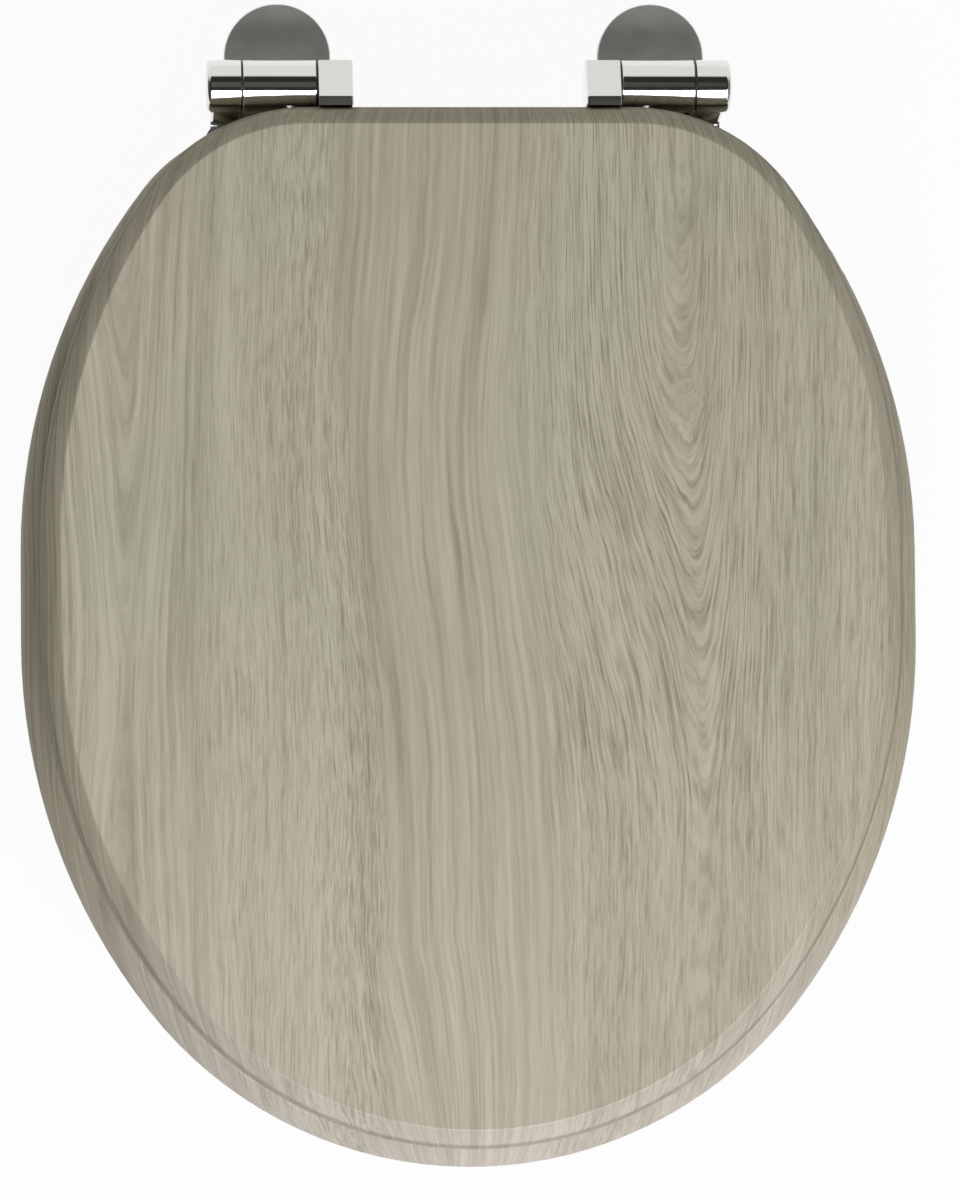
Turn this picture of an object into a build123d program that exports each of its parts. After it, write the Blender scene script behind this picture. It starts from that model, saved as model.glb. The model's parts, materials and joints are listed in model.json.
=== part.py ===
from build123d import *

import os
from math import cos, radians, sin

# Wooden toilet seat, closed, in millimetres. The frame lies midway between the two fixing bolts, on the
# plane of the pan: +X to the right, +Y to the rear, +Z up.

# Plan of the lid. The ring is wider at the sides and the front, with a corner of its own.
LID_WIDTH = 351.0
LID_LENGTH = 424.0
RING_SIDE_REACH = 8.5
RING_FRONT_REACH = 8.2
RING_REAR_SET_IN = 3.4
LID_CORNER_RADIUS = 80.0
LID_CORNER_TURN = 55.5
RING_CORNER_RADIUS = 68.5
RING_CORNER_TURN = 52.5
SIDE_RADIUS = 246.0
FLANK_LENGTH = 37.0
SHOULDER_TURN = 38.0
OPENING_WIDTH = 224.0
OPENING_LENGTH = 280.0
OPENING_SIDE_TURN = 40.0
OPENING_FRONT_BAND = 66.0

# Thicknesses and edges of the wood
LID_THICKNESS = 17.0
RING_THICKNESS = 20.0
EDGE_INSET = 8.5
LID_EDGE_LAND = 2.0
RING_EDGE_LAND = 5.0
UNDER_EDGE_ROUND = 1.5
OPENING_TOP_ROUND = 8.0
OPENING_UNDER_ROUND = 3.0

# Heights
RING_BUFFER_HEIGHT = 14.5
LID_BUFFER_HEIGHT = 9.0
AXIS_HEIGHT = 38.0

# Places in plan
FIXING_CENTRES = 155.0
AXIS_SET_FORWARD = 16.5
LID_BEHIND_EDGE = 9.7

# Hinge barrel
BARREL_RADIUS = 10.75
CENTRE_BARREL_LENGTH = 29.7
KNUCKLE_LENGTH = 14.1
KNUCKLE_GAP = 0.9
KNUCKLE_END_WALL = 2.6
BARREL_EDGE_CHAMFER = 0.3
KNUCKLE_END_ROUND = 2.2
PIN_RADIUS = 4.0
PIN_END_PLAY = 0.2
BUSH_RADIUS = 6.0
BUSH_CLEARANCE = 0.05
FLANGE_RADIUS = 10.0
FLANGE_PLAY = 0.1

# Foot, its cover and what fixes it
GASKET_RADIUS = 21.0
GASKET_THICKNESS = 1.5
FOOT_RADIUS = 20.0
FOOT_THICKNESS = 4.0
NECK_WIDTH = 18.0
NECK_DEPTH = 12.0
NECK_CORNER = 4.0
NECK_SET_FORWARD = 13.5
COVER_RADIUS = 22.0
COVER_THICKNESS = 1.5
COVER_EDGE_CHAMFER = 0.4
COVER_CLEARANCE = 0.3
BOLT_RADIUS = 3.0
BOLT_NECK_RADIUS = 2.7
BOLT_HEAD_RADIUS = 5.75
BOLT_HEAD_DEPTH = 2.75
BOLT_LENGTH_BELOW_PAN = 62.0
BOLT_END_CHAMFER = 0.8
BOLT_HOLE_CLEARANCE = 0.3

# Leaves
LEAF_THICKNESS = 3.0
LEAF_WIDTH = 28.0
LEAF_REACH = 52.0
LEAF_CORNER = 7.0
LEAF_BARREL_CLEARANCE = 1.6
ARM_HEAD_RADIUS = 9.5
ARM_TOE_RADIUS = 4.5
ARM_TOE_SET_FORWARD = 8.0
ARM_SET_IN = 2.0
TONGUE_INWARD_REACH = 18.0
ARM_EDGE_ROUND = 1.5
FACET_FOOT_SET_IN = 1.0
FACET_FOOT_RISE = 7.5
RIDGE_RISE = 15.2
RIDGE_SET_FORWARD = 6.0
RIDGE_ROUND = 0.8

# Wood screws
SCREW_RADIUS = 2.0
SCREW_HEAD_RADIUS = 4.0
SCREW_HEAD_DEPTH = 2.0
SCREW_LENGTH = 15.0
SCREW_POINT_LENGTH = 3.5
SCREW_POINT_RADIUS = 0.3
SCREW_PITCH = 24.0

# Buffers
RING_BUFFER_RADIUS = 12.0
LID_BUFFER_RADIUS = 9.0
BUFFER_TAPER = 1.5
BUFFER_EDGE_CHAMFER = 1.0
BUFFER_SPIGOT_RADIUS = 3.0
BUFFER_SPIGOT_LENGTH = 7.0
FRONT_BUFFER_SPREAD = 85.0
FRONT_BUFFER_INSET = 58.0
REAR_BUFFER_SIDE_INSET = 52.0
REAR_BUFFER_INSET = 132.0

# Alignment of a cylinder that stands on its base
UPWARDS = (Align.CENTER, Align.CENTER, Align.MIN)

# Places that follow from the sizes above
BOLT_X = FIXING_CENTRES / 2
AXIS_Y = -AXIS_SET_FORWARD
LID_REAR = AXIS_Y - LID_BEHIND_EDGE
LID_FRONT = LID_REAR - LID_LENGTH
LID_HALF_WIDTH = LID_WIDTH / 2
RING_REAR = LID_REAR - RING_REAR_SET_IN
RING_FRONT = LID_FRONT - RING_FRONT_REACH
RING_HALF_WIDTH = LID_HALF_WIDTH + RING_SIDE_REACH
RING_BOTTOM = RING_BUFFER_HEIGHT
RING_TOP = RING_BOTTOM + RING_THICKNESS
LID_BOTTOM = RING_TOP + LID_BUFFER_HEIGHT
FOOT_TOP = GASKET_THICKNESS + FOOT_THICKNESS
KNUCKLE_START = CENTRE_BARREL_LENGTH / 2 + KNUCKLE_GAP
KNUCKLE_END = KNUCKLE_START + KNUCKLE_LENGTH
BUSH_END = KNUCKLE_END - KNUCKLE_END_WALL
LEAF_REAR = AXIS_Y - BARREL_RADIUS - LEAF_BARREL_CLEARANCE
LEAF_FRONT = LEAF_REAR - LEAF_REACH
LEAF_MIDDLE = KNUCKLE_END - LEAF_WIDTH / 2
SCREW_ROWS = [(LEAF_REAR + LEAF_FRONT - SCREW_PITCH) / 2, (LEAF_REAR + LEAF_FRONT + SCREW_PITCH) / 2]


def arc_pair(half_width, depth, turn):
    """Radii of two tangent arcs from the widest point to the end on the centre line."""
    cosine = cos(radians(turn))
    sine = sin(radians(turn))
    side_radius = (depth * cosine - half_width * (1 - sine)) / (sine + cosine - 1)
    end_radius = (half_width - side_radius * (1 - cosine)) / cosine
    return side_radius, end_radius


def seat_plan(half_width, rear, front, corner_radius, corner_turn):
    """Plan of the lid or the ring: straight rear edge, then corner, side, flank, shoulder and nose."""
    corner_sine = sin(radians(corner_turn))
    rear_half = half_width - corner_radius * corner_sine - SIDE_RADIUS * (1 - corner_sine)
    corner_cosine = cos(radians(corner_turn))
    back_depth = corner_radius * (1 - corner_cosine) + SIDE_RADIUS * corner_cosine + FLANK_LENGTH
    shoulder_radius, nose_radius = arc_pair(half_width, rear - front - back_depth, SHOULDER_TURN)
    with BuildSketch() as plan:
        with BuildLine():
            back = Line((0, rear), (rear_half, rear))
            corner = JernArc(back @ 1, back % 1, corner_radius, -corner_turn)
            side = JernArc(corner @ 1, corner % 1, SIDE_RADIUS, corner_turn - 90)
            flank = Line(side @ 1, (side @ 1) - (0, FLANK_LENGTH))
            shoulder = JernArc(flank @ 1, flank % 1, shoulder_radius, -SHOULDER_TURN)
            JernArc(shoulder @ 1, shoulder % 1, nose_radius, SHOULDER_TURN - 90)
            mirror(about=Plane.YZ)
        make_face()
    return plan.sketch


def opening_plan():
    """Oval of the ring's opening about its own centre."""
    side_radius, end_radius = arc_pair(OPENING_WIDTH / 2, OPENING_LENGTH / 2, OPENING_SIDE_TURN)
    with BuildSketch() as plan:
        with BuildLine():
            side = JernArc((OPENING_WIDTH / 2, 0), (0, -1), side_radius, -OPENING_SIDE_TURN)
            JernArc(side @ 1, side % 1, end_radius, OPENING_SIDE_TURN - 90)
            mirror(about=Plane.YZ)
            mirror(about=Plane.XZ)
        make_face()
    return plan.sketch


def board(plan, thickness, land, bottom):
    """Board with an upright land, a convex edge above it and a crisp line round its flat top."""
    drop = thickness - land
    edge_radius = (drop**2 + EDGE_INSET**2) / (2 * EDGE_INSET)
    blank = extrude(plan, land + edge_radius)
    blank = fillet(blank.edges().group_by(Axis.Z)[-1], edge_radius)
    blank = split(blank, Plane.XY.offset(thickness), keep=Keep.BOTTOM)
    blank = fillet(blank.edges().group_by(Axis.Z)[0], UNDER_EDGE_ROUND)
    return Pos(0, 0, bottom) * blank


def both_sides(piece):
    """The right piece and its mirror image on the left."""
    return {"right": piece, "left": mirror(piece, about=Plane.YZ)}


def on_axis(radius, start, end):
    """Cylinder along the right hinge axis, between two distances outwards from the fixing bolt."""
    place = Pos(BOLT_X + (start + end) / 2, AXIS_Y, AXIS_HEIGHT) * Rotation(0, 90, 0)
    return place * Cylinder(radius, end - start)


def barrel(start, end):
    """Length of the hinge barrel with both end edges broken."""
    piece = on_axis(BARREL_RADIUS, start, end)
    return chamfer(piece.edges().filter_by(GeomType.CIRCLE), BARREL_EDGE_CHAMFER)


def neck(clearance):
    """Upright of the foot, leaning forward from the round plate to the barrel."""
    outline = RectangleRounded(
        NECK_WIDTH + 2 * clearance,
        NECK_DEPTH + 2 * clearance,
        NECK_CORNER + clearance,
    )
    low = Pos(BOLT_X, -NECK_SET_FORWARD, GASKET_THICKNESS + FOOT_THICKNESS / 2) * outline
    high = Pos(BOLT_X, AXIS_Y, AXIS_HEIGHT) * outline
    return loft([low, high])


def fixing_bolt():
    """Countersunk bolt: head in the foot plate, thinner neck down to the pan, then the threaded length."""
    tip = -BOLT_LENGTH_BELOW_PAN
    with BuildSketch(Plane.XZ) as half:
        with BuildLine():
            Polyline(
                (0, FOOT_TOP),
                (BOLT_HEAD_RADIUS, FOOT_TOP),
                (BOLT_NECK_RADIUS, FOOT_TOP - BOLT_HEAD_DEPTH),
                (BOLT_NECK_RADIUS, 0),
                (BOLT_RADIUS, 0),
                (BOLT_RADIUS, tip + BOLT_END_CHAMFER),
                (BOLT_RADIUS - BOLT_END_CHAMFER, tip),
                (0, tip),
                close=True,
            )
        make_face()
    return Pos(BOLT_X, 0, 0) * revolve(half.sketch, Axis.Z)


def bolt_hole():
    """Clear hole for the shank of the fixing bolt."""
    return Pos(BOLT_X, 0, 0) * Cylinder(BOLT_RADIUS + BOLT_HOLE_CLEARANCE, 4 * FOOT_TOP)


def gasket():
    """Soft disc between the foot and the pan."""
    disc = Cylinder(GASKET_RADIUS, GASKET_THICKNESS, align=UPWARDS)
    return Pos(BOLT_X, 0, 0) * disc - bolt_hole()


def hinge_foot():
    """Cast foot: round plate, leaning neck and the middle of the barrel, bored for the pin."""
    plate = Cylinder(FOOT_RADIUS, FOOT_THICKNESS, align=UPWARDS)
    casting = Pos(BOLT_X, 0, GASKET_THICKNESS) * plate
    casting += neck(0)
    casting += barrel(-CENTRE_BARREL_LENGTH / 2, CENTRE_BARREL_LENGTH / 2)
    casting -= on_axis(PIN_RADIUS, -CENTRE_BARREL_LENGTH, CENTRE_BARREL_LENGTH)
    return casting - bolt_hole() - fixing_bolt()


def foot_cover():
    """Flat round cap over the foot plate, with a window for the neck."""
    height = FOOT_THICKNESS + COVER_THICKNESS
    cap = Cylinder(COVER_RADIUS, height, align=UPWARDS)
    cap = chamfer(cap.edges().group_by(Axis.Z)[-1], COVER_EDGE_CHAMFER)
    cap -= Cylinder(FOOT_RADIUS + COVER_CLEARANCE, FOOT_THICKNESS, align=UPWARDS)
    return Pos(BOLT_X, 0, GASKET_THICKNESS) * cap - neck(COVER_CLEARANCE)


def hinge_pin():
    """Steel pin through the middle barrel and both bushes."""
    reach = BUSH_END - PIN_END_PLAY
    return on_axis(PIN_RADIUS, -reach, reach)


def bush():
    """Plastic sleeve that the outer leaf turns on, with a flange that fills the joint in the barrel."""
    sleeve = on_axis(BUSH_RADIUS, KNUCKLE_START, BUSH_END)
    sleeve += on_axis(FLANGE_RADIUS, KNUCKLE_START - KNUCKLE_GAP + FLANGE_PLAY, KNUCKLE_START)
    return sleeve - on_axis(PIN_RADIUS + BUSH_CLEARANCE, 0, KNUCKLE_END)


def pin_cap():
    """Plug that closes the outer knuckle."""
    plug = on_axis(BUSH_RADIUS, BUSH_END, KNUCKLE_END)
    return chamfer(plug.edges().group_by(Axis.X)[-1], BARREL_EDGE_CHAMFER)


def leaf_plate(side, bottom, tongue_start, tongue_end, tongue_rear):
    """Flat plate of the outer (side 1) or inner (side -1) leaf, with the tongue that ties its knuckle on."""
    centre = (LEAF_REAR + LEAF_FRONT) / 2
    outline = RectangleRounded(LEAF_WIDTH, LEAF_REACH, LEAF_CORNER)
    plate = Pos(BOLT_X + side * LEAF_MIDDLE, centre) * outline
    tongue_across = BOLT_X + side * (tongue_start + tongue_end) / 2
    tongue_front = LEAF_REAR - 2 * LEAF_CORNER
    tongue_outline = Rectangle(tongue_end - tongue_start, tongue_rear - tongue_front)
    tongue = Pos(tongue_across, (tongue_rear + tongue_front) / 2) * tongue_outline
    return Pos(0, 0, bottom) * extrude(plate + tongue, LEAF_THICKNESS)


def screw_places(side):
    """Plan positions of the two wood screws of a leaf."""
    return [(BOLT_X + side * LEAF_MIDDLE, row) for row in SCREW_ROWS]


def wood_screws(side, bottom):
    """Two countersunk wood screws with their heads flush under a leaf."""
    body_length = SCREW_LENGTH - SCREW_HEAD_DEPTH - SCREW_POINT_LENGTH
    with BuildSketch(Plane.XZ) as half:
        with BuildLine():
            Polyline(
                (0, 0),
                (SCREW_HEAD_RADIUS, 0),
                (SCREW_RADIUS, SCREW_HEAD_DEPTH),
                (SCREW_RADIUS, SCREW_HEAD_DEPTH + body_length),
                (SCREW_POINT_RADIUS, SCREW_LENGTH),
                (0, SCREW_LENGTH),
                close=True,
            )
        make_face()
    screw = revolve(half.sketch, Axis.Z)
    return [Pos(x, y, bottom) * screw for x, y in screw_places(side)]


def seat_leaf(screws):
    """Outer knuckle with its arm down behind the ring and the plate under it."""
    toe_height = RING_BOTTOM - LEAF_THICKNESS + ARM_TOE_RADIUS
    with BuildSketch(Plane.YZ.offset(BOLT_X + KNUCKLE_START)) as side_view:
        with Locations((AXIS_Y, AXIS_HEIGHT)):
            Circle(ARM_HEAD_RADIUS)
        with Locations((AXIS_Y - ARM_TOE_SET_FORWARD, toe_height)):
            Circle(ARM_TOE_RADIUS)
        make_hull()
    arm = extrude(side_view.sketch, KNUCKLE_LENGTH - ARM_SET_IN)
    arm = fillet(arm.edges().group_by(Axis.X)[-1], ARM_EDGE_ROUND)
    knuckle = on_axis(BARREL_RADIUS, KNUCKLE_START, KNUCKLE_END)
    knuckle = fillet(knuckle.edges().group_by(Axis.X)[-1], KNUCKLE_END_ROUND)
    plate = leaf_plate(
        1,
        RING_BOTTOM - LEAF_THICKNESS,
        KNUCKLE_START - TONGUE_INWARD_REACH,
        KNUCKLE_END - ARM_SET_IN,
        AXIS_Y - ARM_TOE_SET_FORWARD + ARM_TOE_RADIUS / 2,
    )
    leaf = knuckle + arm + plate
    leaf -= on_axis(BUSH_RADIUS, KNUCKLE_START, KNUCKLE_END)
    for screw in screws:
        leaf -= screw
    return leaf


def lid_leaf(screws):
    """Inner knuckle, sloping flat behind and flat on top, with the plate under the lid."""
    rear = AXIS_Y + BARREL_RADIUS - FACET_FOOT_SET_IN
    top = AXIS_HEIGHT + RIDGE_RISE
    with BuildSketch(Plane.YZ.offset(BOLT_X - KNUCKLE_END)) as block:
        with Locations((AXIS_Y, AXIS_HEIGHT)):
            Circle(BARREL_RADIUS)
        with BuildLine():
            Polyline(
                (AXIS_Y, AXIS_HEIGHT),
                (rear, AXIS_HEIGHT),
                (rear, AXIS_HEIGHT + FACET_FOOT_RISE),
                (AXIS_Y - RIDGE_SET_FORWARD, top),
                (LID_REAR, top),
                (LID_REAR, LID_BOTTOM - LEAF_THICKNESS),
                (AXIS_Y, LID_BOTTOM - LEAF_THICKNESS),
                close=True,
            )
        make_face()
    leaf = extrude(block.sketch, KNUCKLE_LENGTH)
    upright = leaf.edges().filter_by(Axis.X).group_by(Axis.Z)[-1]
    leaf = fillet(upright.sort_by(Axis.Y)[-1:], RIDGE_ROUND)
    tongue_rear = AXIS_Y - ARM_TOE_SET_FORWARD
    leaf += leaf_plate(-1, LID_BOTTOM - LEAF_THICKNESS, KNUCKLE_START, KNUCKLE_END, tongue_rear)
    leaf -= on_axis(BUSH_RADIUS, -BUSH_END, -KNUCKLE_START)
    for screw in screws:
        leaf -= screw
    return leaf


def buffer(radius, height, seat):
    """Soft round pad that hangs from the wood at height seat, with a spigot up into it."""
    pad = Cone(radius - BUFFER_TAPER, radius, height, align=(Align.CENTER, Align.CENTER, Align.MAX))
    pad = chamfer(pad.edges().group_by(Axis.Z)[0], BUFFER_EDGE_CHAMFER)
    return Pos(0, 0, seat) * (pad + buffer_spigot())


def buffer_spigot():
    """Peg of a buffer, from the underside of the wood upwards."""
    return Cylinder(BUFFER_SPIGOT_RADIUS, BUFFER_SPIGOT_LENGTH, align=UPWARDS)


def buffer_places():
    """Plan positions of the right-hand front and rear buffers."""
    return {
        "front": (FRONT_BUFFER_SPREAD, RING_FRONT + FRONT_BUFFER_INSET),
        "rear": (RING_HALF_WIDTH - REAR_BUFFER_SIDE_INSET, RING_REAR - REAR_BUFFER_INSET),
    }


def spigot_holes(seat):
    """The four blind holes that take the buffer pegs in a board whose underside is at height seat."""
    holes = []
    for x, y in buffer_places().values():
        holes += [Pos(side * x, y, seat) * buffer_spigot() for side in (-1, 1)]
    return holes


def drilled(wood, seat, screws):
    """Board with the holes for its buffers and for the screws of both leaves."""
    for hole in spigot_holes(seat):
        wood -= hole
    for screw in screws:
        wood -= screw
        wood -= mirror(screw, about=Plane.YZ)
    return wood


def lid(screws):
    """Wooden lid."""
    plan = seat_plan(LID_HALF_WIDTH, LID_REAR, LID_FRONT, LID_CORNER_RADIUS, LID_CORNER_TURN)
    wood = board(plan, LID_THICKNESS, LID_EDGE_LAND, LID_BOTTOM)
    return drilled(wood, LID_BOTTOM, screws)


def seat_ring(screws):
    """Wooden ring with an oval opening, rounded on its inner edges."""
    plan = seat_plan(RING_HALF_WIDTH, RING_REAR, RING_FRONT, RING_CORNER_RADIUS, RING_CORNER_TURN)
    wood = board(plan, RING_THICKNESS, RING_EDGE_LAND, RING_BOTTOM)
    middle = RING_FRONT + OPENING_FRONT_BAND + OPENING_LENGTH / 2
    wood -= Pos(0, middle, RING_BOTTOM) * extrude(opening_plan(), RING_THICKNESS)
    top_face = wood.faces().sort_by(Axis.Z)[-1]
    wood = fillet(top_face.inner_wires()[0].edges(), OPENING_TOP_ROUND)
    under_face = wood.faces().sort_by(Axis.Z)[0]
    wood = fillet(under_face.inner_wires()[0].edges(), OPENING_UNDER_ROUND)
    return drilled(wood, RING_BOTTOM, screws)


def main():
    """Build every piece and write one file for each."""
    seat_screws = wood_screws(1, RING_BOTTOM - LEAF_THICKNESS)
    lid_screws = wood_screws(-1, LID_BOTTOM - LEAF_THICKNESS)
    hinge_pieces = {
        "gasket": gasket(),
        "hinge_foot": hinge_foot(),
        "foot_cover": foot_cover(),
        "fixing_bolt": fixing_bolt(),
        "hinge_pin": hinge_pin(),
        "seat_bush": bush(),
        "lid_bush": mirror(bush(), about=Plane.YZ.offset(BOLT_X)),
        "pin_cap": pin_cap(),
        "seat_leaf": seat_leaf(seat_screws),
        "lid_leaf": lid_leaf(lid_screws),
        "seat_leaf_screws": Compound(seat_screws),
        "lid_leaf_screws": Compound(lid_screws),
    }
    pieces = {"lid": lid(lid_screws), "seat_ring": seat_ring(seat_screws)}
    for name, piece in hinge_pieces.items():
        for side, solid in both_sides(piece).items():
            pieces[f"{side}_{name}"] = solid
    for place, (x, y) in buffer_places().items():
        under_ring = Pos(x, y, 0) * buffer(RING_BUFFER_RADIUS, RING_BUFFER_HEIGHT, RING_BOTTOM)
        under_lid = Pos(x, y, 0) * buffer(LID_BUFFER_RADIUS, LID_BUFFER_HEIGHT, LID_BOTTOM)
        for side, solid in both_sides(under_ring).items():
            pieces[f"seat_buffer_{place}_{side}"] = solid
        for side, solid in both_sides(under_lid).items():
            pieces[f"lid_buffer_{place}_{side}"] = solid
    os.makedirs("parts", exist_ok=True)
    for name, piece in pieces.items():
        export_step(piece, f"parts/{name}.step")


main()
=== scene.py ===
"""Looks of a wooden toilet seat: oak boards, polished hinges, fixings, and the studio round them."""

import json
import logging
from dataclasses import dataclass, field
from enum import Enum
from functools import partial, reduce
from math import cos, pi, radians, sin
from typing import Callable, Mapping, Optional, Sequence, Union

import bpy
from mathutils import Color, Euler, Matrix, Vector

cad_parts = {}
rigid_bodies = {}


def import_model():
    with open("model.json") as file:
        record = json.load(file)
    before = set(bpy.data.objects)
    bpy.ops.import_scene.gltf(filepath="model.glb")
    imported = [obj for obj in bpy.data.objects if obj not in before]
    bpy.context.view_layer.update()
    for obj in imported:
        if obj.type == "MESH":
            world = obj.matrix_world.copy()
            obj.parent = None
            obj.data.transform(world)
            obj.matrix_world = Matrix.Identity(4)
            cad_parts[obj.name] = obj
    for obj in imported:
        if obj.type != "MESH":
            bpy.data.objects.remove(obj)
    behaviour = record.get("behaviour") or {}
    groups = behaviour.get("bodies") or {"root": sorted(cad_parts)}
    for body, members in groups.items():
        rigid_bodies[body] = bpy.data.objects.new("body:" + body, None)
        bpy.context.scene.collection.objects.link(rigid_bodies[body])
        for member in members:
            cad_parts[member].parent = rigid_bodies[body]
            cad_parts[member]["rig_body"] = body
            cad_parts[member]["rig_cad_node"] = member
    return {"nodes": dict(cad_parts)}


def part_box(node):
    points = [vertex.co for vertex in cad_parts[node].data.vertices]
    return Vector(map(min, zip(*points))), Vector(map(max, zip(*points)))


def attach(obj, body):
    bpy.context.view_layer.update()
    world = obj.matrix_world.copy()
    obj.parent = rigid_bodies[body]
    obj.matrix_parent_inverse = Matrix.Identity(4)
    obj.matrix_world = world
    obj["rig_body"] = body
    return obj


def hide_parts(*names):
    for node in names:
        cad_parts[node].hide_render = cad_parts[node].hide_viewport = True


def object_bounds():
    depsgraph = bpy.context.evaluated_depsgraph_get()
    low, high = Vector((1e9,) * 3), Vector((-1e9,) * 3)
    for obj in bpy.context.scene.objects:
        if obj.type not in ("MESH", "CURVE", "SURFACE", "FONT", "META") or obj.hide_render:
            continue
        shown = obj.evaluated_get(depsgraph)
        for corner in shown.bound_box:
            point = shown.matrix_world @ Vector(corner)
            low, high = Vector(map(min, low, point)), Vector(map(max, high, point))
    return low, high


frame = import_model()
cad_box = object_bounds()

Material = bpy.types.Material
Mesh = bpy.types.Mesh
Object = bpy.types.Object
Socket = bpy.types.NodeSocket
Operand = Union[Socket, float]
Colour = tuple[float, float, float]

MILLIMETRE = 0.001
NEAR = 0.01 * MILLIMETRE
MERGE = 0.001 * MILLIMETRE
CUT = 0.0001 * MILLIMETRE
FULL_LEVEL = 255
NOISE_REACH = 0.8
BUMP_STRENGTH = 0.3
PLAIN: Colour = (1.0, 1.0, 1.0)

log = logging.getLogger("seat")


class Side(Enum):
    """The two hinges, as seen from the front."""

    LEFT = "left"
    RIGHT = "right"


class Slot(Enum):
    """Material slots of the record."""

    OAK = "oak"
    CHROME = "chrome"
    STEEL = "steel"
    NYLON = "nylon"
    RUBBER = "rubber"


class Zone(Enum):
    """Kinds of wood that a board shows from place to place."""

    CALM = "smooth"
    BUSY = "finely pored"
    LEFT_BUSY = "finely pored, at the left"
    STRIP = "dense strip"
    OUTER = "left end"
    RIGHT = "ribbed, at the right"
    HEART = "inside of the cathedral"
    FRONT = "front end"
    FRONT_RIGHT = "front right"
    FRONT_MIDDLE = "front middle"


@dataclass(frozen=True)
class Span:
    """Change from one level to another between two places."""

    start: float
    end: float
    before: float = 0.0
    after: float = 1.0


@dataclass(frozen=True)
class Hump:
    """Smooth hump of height one, which has fallen to about a third at its width."""

    centre: float
    width: float


@dataclass(frozen=True)
class Layer:
    """Noise drawn out along the grain: size of its humps, seed, finer layers, and height."""

    width: float
    length: float
    seed: float
    detail: float = 1.0
    height: float = 1.0


@dataclass(frozen=True)
class Depth:
    """How strongly something shows everywhere, and how much more in some zones."""

    everywhere: float
    zones: Mapping[Zone, float] = field(default_factory=dict)


@dataclass(frozen=True)
class Marks:
    """Marks along the grain: their noise, how dark they are, where they fade, and their cut."""

    layer: Layer
    depth: Depth
    fade: Depth = Depth(1.0)
    cut: Optional[Span] = None


UNIT = Span(0.0, 1.0)


def linear(red: int, green: int, blue: int) -> Colour:
    """Turn a display colour of 0 to 255 into the linear colour that a shader takes."""
    display = Color([level / FULL_LEVEL for level in (red, green, blue)])
    return tuple(display.from_srgb_to_scene_linear())


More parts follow.
